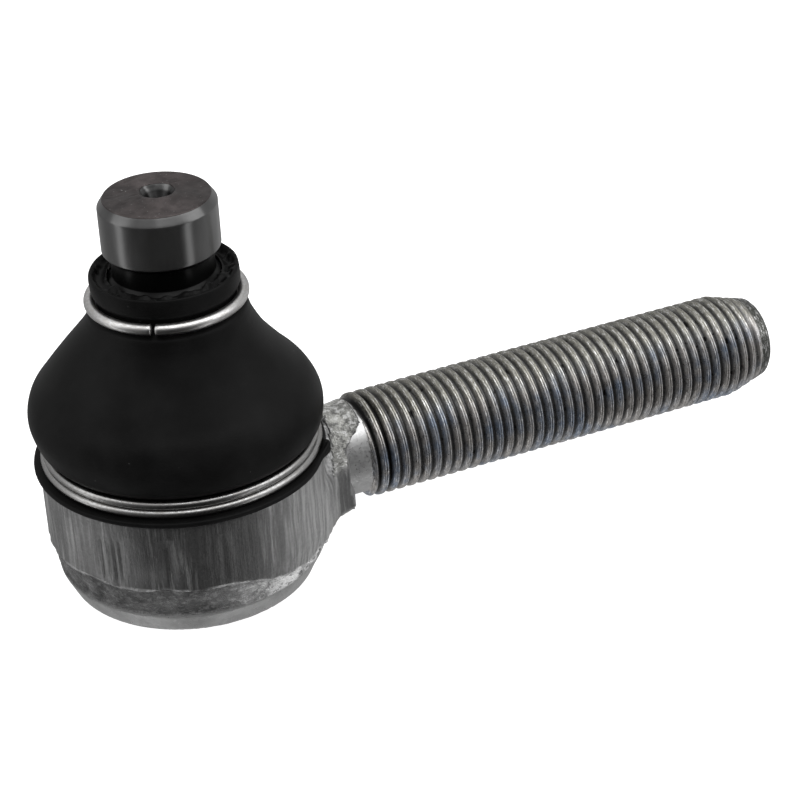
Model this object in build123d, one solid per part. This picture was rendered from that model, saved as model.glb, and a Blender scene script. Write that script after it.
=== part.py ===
from build123d import *
import os
from math import sqrt

# Tie rod end: a greased ball joint in a forged housing with a male M14x1.5 shank.
# Millimetres. The origin is the centre of the ball, +Z runs up the stud and +X out along the shank.

# Ball stud
BALL_R = 10.5
BALL_FLAT_Z = -9.9
NECK_R = 5.4
NECK_TOP_Z = 12.7
BOOT_SEAT_R = 7.2
BOOT_SEAT_Z = (16.2, 25.9)
UNDERCUT_R = 6.3
UNDERCUT_Z = (26.8, 29.3)
PIN_R = 7.25
PIN_Z = (30.1, 35.65)
PIN_EDGE = 0.25
PIN_TOP_R = 6.5
STUD_TOP_Z = 36.75
CENTRE_CONE_R = 2.15
CENTRE_CONE_DEPTH_PER_RADIUS = 1.732
CENTRE_DRILL_R = 1.0
CENTRE_DRILL_Z = 33.05
CENTRE_DRILL_OFFSET = (0.45, 1.05)

# Bearing inside the housing
GREASE_GAP = 0.1
SOCKET_R = 11.9
SHELL_FIT = 0.03
UPPER_SHELL_Z = (-0.4, 5.6)
LOWER_SHELL_Z = (-9.3, -0.8)
CUP_R = 11.7
CUP_Z = (-11.0, -6.1)
SPRING_R = (4.8, 10.5)
SPRING_THICKNESS = 0.65
PLATE_R = 13.1
PLATE_Z = (-14.0, -12.2)
PLATE_DIMPLE_R = 5.3
PLATE_DIMPLE_DEPTH = 0.45

# Housing
BASE_Z = -15.45
BASE_R = 15.6
ROLLED_LIP_R = 12.1
ROLLED_EDGE = (17.0, -12.4)
BODY_R = 17.8
TRIM_Z = -7.9
SHOULDER_Z = 1.25
SHOULDER_EDGE = 0.35
GROOVE_R = 15.05
FLANGE_R = 15.75
FLANGE_Z = (4.9, 6.1)
TOP_Z = 8.15
TOP_R = 13.6
MOUTH_R = 9.8
MOUTH_Z = 7.25
MOUTH_FLARE_R = 10.85
BOOT_SEAT_CUT_R = 18.8

# Neck and shank, measured from the shank's own axis
SHANK_Z = -5.0
NECK_END_X = 21.0
NECK_CORNER = 2.4
# Each neck section is its place along the shank, its half width, and its height and depth from the axis.
NECK_SECTIONS = [
    (10.5, 13.6, 7.5, 9.4),
    (14.9, 9.8, 7.35, 8.4),
    (18.0, 7.6, 7.1, 7.2),
    (NECK_END_X, 6.8, 6.8, 6.8),
]
RELIEF_R = 6.1
THREAD_R = 7.0
THREAD_START_X = 23.5
THREAD_CHAMFER = 0.7
POINT_START_X = 78.1
POINT_END_R = 5.5
POINT_EDGE = 0.5
SHANK_END_X = 83.8

# Dust boot, as (radius, height) where a value is a pair
BEAD_R = 18.6
BEAD_Z = (1.35, 2.05)
BEAD_EDGE = 0.25
COLLAR_INNER_R = 15.2
COLLAR_TOP_Z = 4.7
BULGE = [
    (17.0, 4.55),
    (17.9, 5.8),
    (18.35, 8.4),
    (17.55, 10.85),
    (15.75, 13.05),
    (12.85, 16.6),
    (10.7, 19.7),
    (9.9, 21.45),
]
BULGE_INNER = [(7.45, 19.8), (9.6, 18.3), (11.7, 15.7), (14.45, 12.4), (16.3, 10.3), (17.0, 8.3), (16.55, 6.4)]
FLANGE_CLEARANCE = 0.22
NECK_GRIP_R = 7.45
LIP_R = 9.25
LIP_Z = (24.85, 27.2)
LIP_MOUTH_R = 8.15
LIP_EDGE = 0.35

# Clamp rings of round spring wire; each turn is its (radius, height)
UPPER_WIRE_R = 0.7
UPPER_RING_R = 9.4
UPPER_RING_Z = 23.45
UPPER_RING_GAP = 6.0
RING_FIT = 0.1
LOWER_WIRE_R = 0.55
LOWER_TURNS = [(17.15, 2.6), (16.85, 3.65)]
LOWER_RING_GAP = 3.0
UPPER_GAP_ANGLE = -120.0
LOWER_GAP_ANGLE = 37.0


def turned(*edges):
    """Solid turned about the stud axis from a closed half section in (radius, height)."""
    return revolve(Plane.XZ * make_face(Curve() + list(edges)), Axis.Z)


def sphere_radius(ball_r, height):
    """Radius of the circle at this height on a sphere about the ball's centre."""
    return sqrt(ball_r ** 2 - height ** 2)


def sphere_arc(ball_r, start_z, end_z):
    """Arc of the half section on a sphere about the ball's centre."""
    middle = (start_z + end_z) / 2
    points = [(sphere_radius(ball_r, z), z) for z in (start_z, middle, end_z)]
    return ThreePointArc(*points)


def centre_drilling():
    """Countersunk centre hole in the stud's end face, a little off the axis."""
    cone_bottom_z = STUD_TOP_Z - (CENTRE_CONE_R - CENTRE_DRILL_R) * CENTRE_CONE_DEPTH_PER_RADIUS
    hole = turned(Polyline(
        (0, STUD_TOP_Z),
        (CENTRE_CONE_R, STUD_TOP_Z),
        (CENTRE_DRILL_R, cone_bottom_z),
        (CENTRE_DRILL_R, CENTRE_DRILL_Z),
        (0, CENTRE_DRILL_Z - 0.6 * CENTRE_DRILL_R),
        close=True,
    ))
    return Pos(*CENTRE_DRILL_OFFSET) * hole


def ball_stud():
    """Ball, neck, boot seat, clamp bolt undercut and plain clamp pin with a centre drilling."""
    ball_top_z = sphere_radius(BALL_R, NECK_R)
    side = Polyline(
        (NECK_R, ball_top_z),
        (NECK_R, NECK_TOP_Z),
        (BOOT_SEAT_R, BOOT_SEAT_Z[0]),
        (BOOT_SEAT_R, BOOT_SEAT_Z[1]),
        (UNDERCUT_R, UNDERCUT_Z[0]),
        (UNDERCUT_R, UNDERCUT_Z[1]),
        (PIN_R - PIN_EDGE, PIN_Z[0] - PIN_EDGE),
        (PIN_R, PIN_Z[0]),
        (PIN_R, PIN_Z[1]),
        (PIN_TOP_R, STUD_TOP_Z),
        (0, STUD_TOP_Z),
        (0, BALL_FLAT_Z),
        (sphere_radius(BALL_R, BALL_FLAT_Z), BALL_FLAT_Z),
    )
    return turned(sphere_arc(BALL_R, BALL_FLAT_Z, ball_top_z), side) - centre_drilling()


def bearing_shell(z_range):
    """One half of the plastic bearing between the ball and the socket."""
    low, high = z_range
    inner, outer = BALL_R + GREASE_GAP, SOCKET_R - SHELL_FIT
    ends = [
        Line((sphere_radius(inner, z), z), (sphere_radius(outer, z), z))
        for z in (low, high)
    ]
    return turned(sphere_arc(inner, low, high), sphere_arc(outer, low, high), *ends)


def pressure_cup():
    """Steel cup that presses the lower shell up against the ball."""
    low, high = CUP_Z
    wall = Polyline(
        (sphere_radius(SOCKET_R, high), high),
        (CUP_R, high),
        (CUP_R, low),
        (sphere_radius(SOCKET_R, low), low),
    )
    return turned(sphere_arc(SOCKET_R, low, high), wall)


def preload_spring():
    """Cone disc spring squeezed between the closing plate and the pressure cup."""
    inner_r, outer_r = SPRING_R
    low, high = PLATE_Z[1], CUP_Z[0]
    section = Polyline(
        (inner_r, high - SPRING_THICKNESS),
        (inner_r, high),
        (outer_r, low + SPRING_THICKNESS),
        (outer_r, low),
        close=True,
    )
    return turned(section)


def closing_plate():
    """Pressed steel disc that the housing's lower edge is rolled over, with a shallow dimple."""
    low, high = PLATE_Z
    dimple_z = low + PLATE_DIMPLE_DEPTH
    section = Polyline(
        (0, dimple_z),
        (PLATE_DIMPLE_R - PLATE_DIMPLE_DEPTH, dimple_z),
        (PLATE_DIMPLE_R, low),
        (PLATE_R, low),
        (PLATE_R, high),
        (0, high),
        close=True,
    )
    return turned(section)


def housing_body():
    """Turned outside of the housing, solid to the axis, with the boot groove and its flange."""
    return turned(Polyline(
        (0, BASE_Z),
        (BASE_R, BASE_Z),
        ROLLED_EDGE,
        (BODY_R, TRIM_Z),
        (BODY_R, SHOULDER_Z - SHOULDER_EDGE),
        (BODY_R - SHOULDER_EDGE, SHOULDER_Z),
        (GROOVE_R, SHOULDER_Z),
        (GROOVE_R, FLANGE_Z[0]),
        (FLANGE_R, FLANGE_Z[0]),
        (FLANGE_R, FLANGE_Z[1]),
        (TOP_R, TOP_Z),
        (0, TOP_Z),
        close=True,
    ))


def housing_cavity():
    """Ball socket open at the top, and the bore and recess that the closing plate shuts."""
    socket_top_z = sphere_radius(SOCKET_R, MOUTH_R)
    sides = Polyline(
        (MOUTH_R, socket_top_z),
        (MOUTH_R, MOUTH_Z),
        (MOUTH_FLARE_R, TOP_Z),
        (MOUTH_FLARE_R, TOP_Z + 1),
        (0, TOP_Z + 1),
        (0, BASE_Z - 1),
        (ROLLED_LIP_R, BASE_Z - 1),
        (ROLLED_LIP_R, PLATE_Z[0]),
        (PLATE_R, PLATE_Z[0]),
        (PLATE_R, PLATE_Z[1]),
        (SOCKET_R, PLATE_Z[1]),
        (SOCKET_R, 0),
    )
    return turned(sphere_arc(SOCKET_R, 0, socket_top_z), sides)


def neck_section(x, half_width, height, depth):
    """Forged neck section at x: arched above the shank axis, with upright flanks below it."""
    flanks = Polyline(
        (half_width, 0),
        (half_width, -depth + NECK_CORNER),
        (half_width - NECK_CORNER, -depth),
        (-half_width + NECK_CORNER, -depth),
        (-half_width, -depth + NECK_CORNER),
        (-half_width, 0),
    )
    arch = EllipticalCenterArc((0, 0), half_width, height, start_angle=0, arc_size=180)
    section_plane = Plane(origin=(x, 0, SHANK_Z), x_dir=(0, 1, 0), z_dir=(1, 0, 0))
    return section_plane * make_face(Curve() + [flanks, arch])


def shank():
    """Turned relief, threaded length at its major diameter and tapered plain point."""
    start_x = NECK_END_X - 4
    outline = Polyline(
        (start_x, 0),
        (start_x, RELIEF_R),
        (THREAD_START_X, RELIEF_R),
        (THREAD_START_X + THREAD_CHAMFER, THREAD_R),
        (POINT_START_X, THREAD_R),
        (SHANK_END_X - POINT_EDGE, POINT_END_R),
        (SHANK_END_X, POINT_END_R - POINT_EDGE),
        (SHANK_END_X, 0),
        close=True,
    )
    shank_plane = Plane(origin=(0, 0, SHANK_Z), x_dir=(1, 0, 0), z_dir=(0, -1, 0))
    axis = Axis((0, 0, SHANK_Z), (1, 0, 0))
    return revolve(shank_plane * make_face(outline), axis)


def housing():
    """Forged housing in one piece with its neck and shank, turned for the boot and the ball."""
    neck = loft([neck_section(*section) for section in NECK_SECTIONS])
    cut_height = 3 * TOP_Z
    boot_seat_cut = Pos(0, 0, SHOULDER_Z) * Cylinder(
        BOOT_SEAT_CUT_R, cut_height, align=(Align.CENTER, Align.CENTER, Align.MIN)
    )
    arm = neck + shank() - boot_seat_cut
    return housing_body() + arm - housing_cavity()


def dust_boot():
    """Rubber boot: flanged lower collar in the housing groove, bulge, cone and upper collar."""
    groove_r = UPPER_RING_R - UPPER_WIRE_R - RING_FIT
    groove_half = 0.9 * UPPER_WIRE_R
    lower_collar = Polyline(
        (FLANGE_R + FLANGE_CLEARANCE, FLANGE_Z[0]),
        (FLANGE_R, COLLAR_TOP_Z),
        (COLLAR_INNER_R, COLLAR_TOP_Z),
        (COLLAR_INNER_R, BEAD_Z[0]),
        (BEAD_R - BEAD_EDGE, BEAD_Z[0]),
        (BEAD_R, BEAD_Z[0] + BEAD_EDGE),
        (BEAD_R, BEAD_Z[1] - BEAD_EDGE),
        (BEAD_R - BEAD_EDGE, BEAD_Z[1]),
        (LOWER_TURNS[0][0] - LOWER_WIRE_R, BEAD_Z[1]),
        (LOWER_TURNS[0][0] - LOWER_WIRE_R, LOWER_TURNS[1][1] - LOWER_WIRE_R),
        (LOWER_TURNS[1][0] - LOWER_WIRE_R, LOWER_TURNS[1][1] - LOWER_WIRE_R),
        (LOWER_TURNS[1][0] - LOWER_WIRE_R, LOWER_TURNS[1][1] + LOWER_WIRE_R),
        BULGE[0],
    )
    upper_collar = Polyline(
        BULGE[-1],
        (groove_r, UPPER_RING_Z - groove_half),
        (groove_r, UPPER_RING_Z + groove_half),
        (LIP_R, LIP_Z[0]),
        (LIP_R, LIP_Z[1] - LIP_EDGE),
        (LIP_R - LIP_EDGE, LIP_Z[1]),
        (LIP_MOUTH_R + LIP_EDGE, LIP_Z[1]),
        (LIP_MOUTH_R, LIP_Z[1] - LIP_EDGE),
        (NECK_GRIP_R, LIP_Z[0]),
        BULGE_INNER[0],
    )
    flange_passage = Polyline(
        BULGE_INNER[-1],
        (FLANGE_R + FLANGE_CLEARANCE, FLANGE_Z[1]),
        (FLANGE_R + FLANGE_CLEARANCE, FLANGE_Z[0]),
    )
    return turned(lower_collar, Spline(*BULGE), upper_collar, Spline(*BULGE_INNER), flange_passage)


def wire_turn(ring_r, ring_z, wire_r, gap_degrees, gap_centre):
    """One turn of round wire about the stud axis, left open by a small gap."""
    section = Plane.XZ * Pos(ring_r, ring_z) * Circle(wire_r)
    turn = revolve(section, Axis.Z, revolution_arc=360 - gap_degrees)
    return Rot(0, 0, gap_centre + gap_degrees / 2) * turn


def upper_clamp_ring():
    """Single-turn wire ring whose butt ends stand a little apart."""
    return wire_turn(UPPER_RING_R, UPPER_RING_Z, UPPER_WIRE_R, UPPER_RING_GAP, UPPER_GAP_ANGLE)


def lower_clamp_ring():
    """Two turns of finer wire side by side, joined into one coil."""
    turns = [
        wire_turn(ring_r, ring_z, LOWER_WIRE_R, LOWER_RING_GAP, LOWER_GAP_ANGLE)
        for ring_r, ring_z in LOWER_TURNS
    ]
    return turns[0] + turns[1]


nodes = {
    "housing": housing(),
    "upper_bearing_shell": bearing_shell(UPPER_SHELL_Z),
    "lower_bearing_shell": bearing_shell(LOWER_SHELL_Z),
    "pressure_cup": pressure_cup(),
    "preload_spring": preload_spring(),
    "closing_plate": closing_plate(),
    "ball_stud": ball_stud(),
    "dust_boot": dust_boot(),
    "upper_clamp_ring": upper_clamp_ring(),
    "lower_clamp_ring": lower_clamp_ring(),
}

os.makedirs("parts", exist_ok=True)
for name, shape in nodes.items():
    export_step(shape, "parts/" + name + ".step")
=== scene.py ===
import math

import bmesh
import bpy
import numpy as np
from mathutils import Matrix, Vector


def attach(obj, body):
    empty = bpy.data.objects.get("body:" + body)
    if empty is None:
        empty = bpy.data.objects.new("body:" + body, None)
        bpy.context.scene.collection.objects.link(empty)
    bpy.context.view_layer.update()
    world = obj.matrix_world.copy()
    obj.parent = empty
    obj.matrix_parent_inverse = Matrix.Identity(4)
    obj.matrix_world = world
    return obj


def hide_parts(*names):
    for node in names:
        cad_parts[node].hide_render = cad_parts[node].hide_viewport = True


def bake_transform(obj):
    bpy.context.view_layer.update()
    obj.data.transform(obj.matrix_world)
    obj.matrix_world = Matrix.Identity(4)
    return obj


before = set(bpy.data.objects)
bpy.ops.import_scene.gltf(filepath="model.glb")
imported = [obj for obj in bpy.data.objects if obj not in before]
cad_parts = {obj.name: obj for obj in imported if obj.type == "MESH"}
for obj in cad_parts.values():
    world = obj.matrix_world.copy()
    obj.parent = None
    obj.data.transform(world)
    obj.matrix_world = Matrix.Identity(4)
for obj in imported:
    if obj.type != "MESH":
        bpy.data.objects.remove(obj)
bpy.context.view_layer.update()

# Lengths are millimetres in the row frame (origin at the ball's centre, +Z up the stud,
# +X out along the shank) and become metres in add_piece().
MM = 0.001

# Camera and studio
CAMERA_AZIMUTH = -23.58
CAMERA_ELEVATION = 29.76
CAMERA_ROLL = -2.99
CAMERA_DISTANCE = 314.5
CAMERA_TARGET = (26.26, -8.95, 5.54)
CAMERA_LENS = 112.5
FLOOR_Z = -15.45

SIDE_LIGHT = 0.5
LOW_SHARE = 0.75
FRONT_SHADE = 0.04
SKY_LIGHT = 1.2
TABLE_LIGHT = 0.2
RIGHT_LIGHT = 0.25
RIGHT_AZIMUTH = 105.0
LEFT_LIGHT = 0.1
CARD_LIGHT = 1.4
CARD_AZIMUTHS = (-101.0, 36.0)
CARD_HALF_WIDTH = 6.0
PAPER_GLOW = 0.93
FRONT_AZIMUTH = -23.6
FRONT_ELEVATION = -20.0

# Ball stud
BALL_R = 10.5
BALL_FLAT_Z = -9.9
NECK_R = 5.4
NECK_TOP_Z = 12.7
SEAT_R = 7.2
SEAT_Z = (16.2, 25.9)
UNDERCUT_R = 6.3
UNDERCUT_Z = (26.8, 29.3)
PIN_R = 7.25
PIN_Z = (30.1, 35.65)
PIN_TOP_R = 6.5
STUD_TOP_Z = 36.75
CONE_R = 2.15
CONE_SLOPE = 1.732
DRILL_R = 1.0
DRILL_Z = 33.05
DRILL_OFFSET = (0.45, 1.05)

# Housing
BASE_Z = -15.45
BODY_R = 17.8
TRIM_Z = -7.9
ROLLED_EDGE_Z = -12.4
SHOULDER_Z = 1.25
TURNED_LAND_Z = -0.7
SOCKET_R = 11.9
MOUTH_R = 9.8
PLATE_R = 13.1
PLATE_Z = (-14.0, -12.2)
SEAT_CUT_R = 18.8
GROOVE_ANGLES = (-146.0, -142.8, -140.0, -137.2, -117.5, -96.0)

# Neck and shank, about the shank's own axis
SHANK_Z = -5.0
NECK_STATIONS = (10.5, 14.9, 18.0, 21.0, 23.0)
NECK_HALF_WIDTHS = (13.6, 9.8, 7.6, 6.8, 6.8)
NECK_HEIGHTS = (7.2, 7.1, 7.0, 6.15, 6.5)
NECK_DEPTHS = (9.4, 8.3, 6.9, 6.55, 6.5)
NECK_CORNER = 2.4
NECK_END_X = 23.3
RELIEF_STARTS = (20.2, 21.7, 23.2)
RELIEF_R = 6.1
THREAD_R = 7.0
THREAD_PITCH = 1.5
THREAD_DEPTH = 0.72
THREAD_START_X = 23.3
THREAD_CHAMFER = 0.6
POINT_START_X = 78.1
POINT_END_R = 5.5
POINT_EDGE = 0.5
SHANK_END_X = 83.8

# Dust boot and clamp rings
BEAD_R = 18.6
BEAD_Z = (1.35, 2.05)
UPPER_WIRE_R = 0.7
UPPER_RING_R = 9.4
UPPER_RING_Z = 23.45
UPPER_GAP_ANGLE = -120.0
UPPER_GAP = 4.4
LOWER_WIRE_R = 0.55
LOWER_TURNS = ((17.15, 2.6), (16.85, 3.65))
LOWER_GAP_ANGLE = 37.0
BOOT_LEAN = (-0.75, 0.33)

FORGING_STEP = 0.37


# ---------------------------------------------------------------- shapes

def lattice_noise(points, size, seed):
    """Smooth noise from -1 to 1 whose lumps are about this size across."""
    table = np.random.default_rng(seed).uniform(-1, 1, (32, 32, 32))
    scaled = np.asarray(points, float) / size
    cell = np.floor(scaled).astype(int)
    share = scaled - cell
    share = share * share * (3 - 2 * share)
    total = np.zeros(len(scaled))
    for corner in np.ndindex(2, 2, 2):
        weight = np.prod(np.where(corner, share, 1 - share), axis=1)
        i, j, k = ((cell + corner) % 32).T
        total += weight * table[i, j, k]
    return total


def ramp(values, start, end):
    """0 up to start, 1 from end on, and a smooth step between them."""
    share = np.clip((np.asarray(values, float) - start) / (end - start), 0, 1)
    return share * share * (3 - 2 * share)


def rounded(outline, radius, steps=4, closed=True):
    """The outline with each corner replaced by a short arc-like curve."""
    points = [np.array(p, float) for p in outline]
    result = []
    for i, corner in enumerate(points):
        if not closed and i in (0, len(points) - 1):
            result.append(corner)
            continue
        before, after = points[i - 1] - corner, points[(i + 1) % len(points)] - corner
        reach = min(radius, 0.45 * np.linalg.norm(before), 0.45 * np.linalg.norm(after))
        start = corner + before / np.linalg.norm(before) * reach
        end = corner + after / np.linalg.norm(after) * reach
        for t in np.linspace(0, 1, steps + 1):
            result.append((1 - t) ** 2 * start + 2 * t * (1 - t) * corner + t ** 2 * end)
    return result


def divided(outline, step, closed=True):
    """The outline with long runs cut into pieces no longer than step."""
    points = [np.array(p, float) for p in outline]
    ends = points[1:] + points[:1] if closed else points[1:]
    result = []
    for a, b in zip(points, ends):
        count = max(1, math.ceil(np.linalg.norm(b - a) / step))
        result += [a + (b - a) * k / count for k in range(count)]
    return result if closed else result + [points[-1]]


def through(points, per_span=6):
    """Smooth curve through the points (Catmull-Rom)."""
    p = [np.array(q, float) for q in points]
    p = [2 * p[0] - p[1]] + p + [2 * p[-1] - p[-2]]
    result = []
    for a, b, c, d in zip(p, p[1:], p[2:], p[3:]):
        for t in np.arange(per_span) / per_span:
            result.append(0.5 * (2 * b + (c - a) * t + (2 * a - 5 * b + 4 * c - d) * t ** 2
                                 + (3 * b - a - 3 * c + d) * t ** 3))
    return result + [p[-2]]


def arc(radius, start_z, end_z, steps):
    """Half section points on a sphere about the ball's centre."""
    return [(math.sqrt(radius ** 2 - z ** 2), z) for z in np.linspace(start_z, end_z, steps)]


def ring_faces(rings, segments, closed):
    """Quads between neighbouring rings of a turned mesh."""
    pairs = rings if closed else rings - 1
    i = np.arange(pairs)[:, None]
    j = np.arange(segments)[None, :]
    i_next, j_next = (i + 1) % rings, (j + 1) % segments
    corners = (i * segments + j, i * segments + j_next, i_next * segments + j_next, i_next * segments + j)
    return np.stack([np.broadcast_to(c, (pairs, segments)) for c in corners], -1).reshape(-1, 4).tolist()


def lathe(profile, segments, closed=True):
    """Turned mesh about Z. A closed profile makes a ring; an open one is capped at both ends."""
    angles = np.arange(segments) * 2 * math.pi / segments
    profile = np.array(profile, float)
    r, z = profile[:, :1], profile[:, 1:]
    points = np.stack([r * np.cos(angles), r * np.sin(angles), z + 0 * angles], -1).reshape(-1, 3)
    faces = ring_faces(len(profile), segments, closed)
    if not closed:
        points = np.vstack([points, (0, 0, profile[0, 1]), (0, 0, profile[-1, 1])])
        first, last = len(points) - 2, len(points) - 1
        top = (len(profile) - 1) * segments
        for j in range(segments):
            k = (j + 1) % segments
            faces.append([first, k, j])
            faces.append([last, top + j, top + k])
    return points, faces


def tube(path, radius, sides=20):
    """Round wire along the path with domed ends."""
    path = np.array(path, float)
    along = np.gradient(path, axis=0)
    along /= np.linalg.norm(along, axis=1)[:, None]
    up = np.array([0.0, 0.0, 1.0])
    side = np.cross(along, up)
    side /= np.linalg.norm(side, axis=1)[:, None]
    top = np.cross(side, along)
    dome = [(-0.30, 0.45), (-0.22, 0.72), (-0.1, 0.92)]
    stations = [(path[0] + along[0] * radius * a, 0, b) for a, b in dome]
    stations += [(p, i, 1.0) for i, p in enumerate(path)]
    stations += [(path[-1] - along[-1] * radius * a, len(path) - 1, b) for a, b in reversed(dome)]
    angles = np.arange(sides) * 2 * math.pi / sides
    rings = [
        centre + radius * size * (np.cos(angles)[:, None] * side[i] + np.sin(angles)[:, None] * top[i])
        for centre, i, size in stations
    ]
    points = np.vstack(rings + [path[:1] - along[:1] * radius * 0.33, path[-1:] + along[-1:] * radius * 0.33])
    faces = ring_faces(len(rings), sides, closed=False)
    first, last = len(points) - 2, len(points) - 1
    end = (len(rings) - 1) * sides
    for j in range(sides):
        k = (j + 1) % sides
        faces.append([first, k, j])
        faces.append([last, end + j, end + k])
    return points, faces


def polygon_distance(r, z, outline):
    """Distance to a closed outline in (radius, height), negative inside it."""
    nearest = np.full(r.shape, np.inf)
    inside = np.zeros(r.shape, bool)
    for (r0, z0), (r1, z1) in zip(outline, outline[1:] + outline[:1]):
        run, rise = r1 - r0, z1 - z0
        t = np.clip(((r - r0) * run + (z - z0) * rise) / (run * run + rise * rise), 0, 1)
        nearest = np.minimum(nearest, (r - r0 - t * run) ** 2 + (z - z0 - t * rise) ** 2)
        if abs(rise) > 1e-9:
            inside ^= ((z0 > z) != (z1 > z)) & (r < r0 + (z - z0) * run / rise)
    return np.where(inside, -1.0, 1.0) * np.sqrt(nearest)


def surface_net(field, relief, low, high, step):
    """Closed quad mesh of the surface where the field is zero, raised by the relief."""
    axes = [np.arange(a, b + step, step) for a, b in zip(low, high)]
    grid = np.stack(np.meshgrid(*axes, indexing="ij"), -1)
    solid = (field(grid.reshape(-1, 3)) < 0).reshape(grid.shape[:3])
    size = [n - 1 for n in solid.shape]
    count = sum(
        solid[a:a + size[0], b:b + size[1], c:c + size[2]].astype(int) for a, b, c in np.ndindex(2, 2, 2)
    )
    mixed = (count > 0) & (count < 8)
    number = np.full(mixed.shape, -1)
    number[mixed] = np.arange(mixed.sum())
    points = grid[:-1, :-1, :-1][mixed] + step / 2
    quads = []
    for axis in range(3):
        b, c = (axis + 1) % 3, (axis + 2) % 3
        near = np.moveaxis(solid, (axis, b, c), (0, 1, 2))[:, 1:-1, 1:-1]
        cells = np.moveaxis(number, (axis, b, c), (0, 1, 2))
        crossing = near[:-1] != near[1:]
        ring = [cells[:, :-1, :-1], cells[:, 1:, :-1], cells[:, 1:, 1:], cells[:, :-1, 1:]]
        four = np.stack([part[crossing] for part in ring], -1)
        outward = near[:-1][crossing]
        quads.append(np.where(outward[:, None], four, four[:, ::-1]))
    for _ in range(4):
        value, slope = field_and_slope(field, points)
        move = -value[:, None] * slope / np.maximum((slope ** 2).sum(1), 0.05)[:, None]
        length = np.linalg.norm(move, axis=1)[:, None]
        points = points + move * np.minimum(1, 0.6 * step / np.maximum(length, 1e-9))
    slope = field_and_slope(field, points)[1]
    points = points + relief(points)[:, None] * slope / np.linalg.norm(slope, axis=1)[:, None]
    return points, np.vstack(quads).tolist()


def field_and_slope(field, points, reach=0.04):
    """The field and its gradient at the points."""
    slope = np.stack([
        (field(points + reach * axis) - field(points - reach * axis)) / (2 * reach) for axis in np.eye(3)
    ], -1)
    return field(points), slope


# ---------------------------------------------------------------- pieces

def mesh_object(name, points, faces):
    """Mesh object from millimetre points, with outward normals."""
    mesh = bpy.data.meshes.new(name)
    mesh.from_pydata((np.asarray(points) * MM).tolist(), [], faces)
    edit = bmesh.new()
    edit.from_mesh(mesh)
    bmesh.ops.remove_doubles(edit, verts=edit.verts, dist=1e-6)
    bmesh.ops.dissolve_degenerate(edit, edges=edit.edges, dist=1e-7)
    bmesh.ops.recalc_face_normals(edit, faces=edit.faces)
    edit.to_mesh(mesh)
    edit.free()
    obj = bpy.data.objects.new(name, mesh)
    bpy.context.scene.collection.objects.link(obj)
    return obj


def finish_piece(obj, material, sharp_degrees):
    """Smooth shading with real edges kept, and the material."""
    obj.data.shade_smooth()
    obj.data.set_sharp_from_angle(angle=math.radians(sharp_degrees))
    obj.data.materials.clear()
    obj.data.materials.append(material)
    return obj


def vertex_points(obj):
    """The mesh's points in millimetres."""
    return np.array([v.co for v in obj.data.vertices], float).reshape(-1, 3) / MM


def set_mask(obj, name, values):
    """Stores one number per vertex for the material to read."""
    attribute = obj.data.attributes.new(name, "FLOAT", "POINT")
    attribute.data.foreach_set("value", np.asarray(values, np.float32))


def join_solids(kept, other):
    """Boolean union of two closed meshes, left in the first."""
    union = kept.modifiers.new("union", "BOOLEAN")
    union.operation = "UNION"
    union.solver = "MANIFOLD"
    union.object = other
    graph = bpy.context.evaluated_depsgraph_get()
    joined = bpy.data.meshes.new_from_object(kept.evaluated_get(graph))
    kept.modifiers.clear()
    kept.data = joined
    bpy.data.objects.remove(other)


# ---------------------------------------------------------------- housing

def housing_outline():
    """Half section of the turned and forged housing, cavity included."""
    outside = [
        (12.1, BASE_Z), (15.6, BASE_Z), (17.0, ROLLED_EDGE_Z), (BODY_R, TRIM_Z),
        (BODY_R, SHOULDER_Z - 0.35), (17.45, SHOULDER_Z), (15.05, SHOULDER_Z), (15.05, 4.9),
        (15.75, 4.9), (15.75, 6.1), (13.6, 8.15), (10.85, 8.15), (MOUTH_R, 7.25),
    ]
    socket = arc(SOCKET_R, math.sqrt(SOCKET_R ** 2 - MOUTH_R ** 2), 0, 7)
    recess = [
        (SOCKET_R, PLATE_Z[1]), (PLATE_R, PLATE_Z[1]), (PLATE_R, PLATE_Z[0]), (12.1, PLATE_Z[0]),
    ]
    return [tuple(p) for p in rounded(outside + socket + recess, 0.35, steps=2)]


def neck_distance(points):
    """Rough distance to the forged neck: arched above the shank's axis, upright flanks below."""
    x, y, height = points[:, 0], points[:, 1], points[:, 2] - SHANK_Z
    half_width = np.interp(x, NECK_STATIONS, NECK_HALF_WIDTHS)
    top = np.interp(x, NECK_STATIONS, NECK_HEIGHTS)
    power = np.interp(x, (14.0, 20.0), (1.6, 2.0))
    arch = (np.abs(y / half_width) ** power + np.abs(height / top) ** power) ** (1 / power)
    above = (arch - 1) * top
    wide, deep = np.abs(y) - half_width, -height - np.interp(x, NECK_STATIONS, NECK_DEPTHS)
    corner = (wide + deep + NECK_CORNER) * 0.7071
    below = np.maximum(np.maximum(wide, deep), corner)
    section = np.where(height > 0, above, below)
    end = x - NECK_END_X
    seat = -np.maximum(np.hypot(x, y) - SEAT_CUT_R, SHOULDER_Z - points[:, 2])
    return np.maximum.reduce([section, relief_cut(points), end, seat, NECK_STATIONS[0] + 3.2 - x])


def relief_cut(points):
    """Distance outside the turned relief, which reaches nearest the housing on the flanks."""
    height = points[:, 2] - SHANK_Z
    flank, bottom, top = RELIEF_STARTS
    start = flank + (top - flank) * ramp(height, 3.2, 5.8) + (bottom - flank) * ramp(-height, 0.5, 6.0)
    shoulder = (start - points[:, 0]) * 2.0
    from_axis = np.hypot(points[:, 1], height)
    return np.where(shoulder > 3, -9.0, (from_axis - RELIEF_R + 0.25 - np.maximum(shoulder, 0)) * 0.45)


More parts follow.
